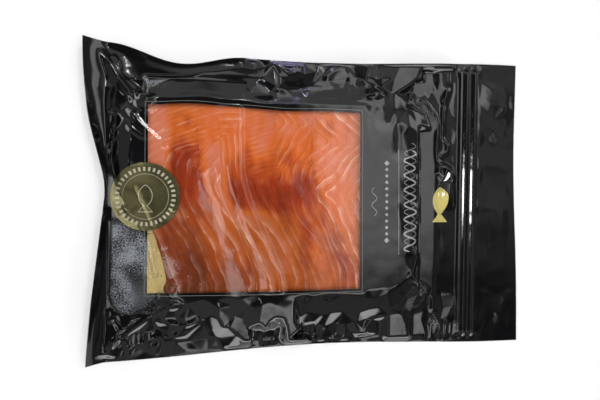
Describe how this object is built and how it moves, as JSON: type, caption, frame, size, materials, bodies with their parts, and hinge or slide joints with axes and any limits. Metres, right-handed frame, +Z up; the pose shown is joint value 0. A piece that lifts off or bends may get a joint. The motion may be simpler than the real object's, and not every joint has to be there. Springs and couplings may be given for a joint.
{
  "type": "smoked salmon pack",
  "caption": "Flat vacuum pouch in glossy black film with a clear window over shingled smoked salmon on a gold card, a press-to-close strip and a round seal sticker.",
  "frame": {"origin": "under the middle of the pouch, on the surface that it lies on", "axes": "+X along the pouch towards the press-to-close strip, +Y across the pouch, +Z up out of the shown face"},
  "size_m": [0.27, 0.18, 0.0115],
  "materials": {
    "black_film": "glossy black printed laminate, creased by the vacuum",
    "clear_film": "clear glossy laminate",
    "gold_card": "metallised gold board with a fine leather grain",
    "salmon": "moist cured fish, orange red with pale fat lines",
    "strip_plastic": "extruded press-to-close profile under the black film",
    "seal_foil": "olive gold foil label"
  },
  "bodies": {
    "root": {"back_film": "black_film", "front_film": "black_film", "window_film": "clear_film", "board": "gold_card", "zip_strip": "strip_plastic", "sticker": "seal_foil", "salmon_slice_1": "salmon", "salmon_slice_2": "salmon", "salmon_slice_3": "salmon", "salmon_slice_4": "salmon", "salmon_slice_5": "salmon", "salmon_slice_6": "salmon", "salmon_slice_7": "salmon"}
  },
  "joints": []
}
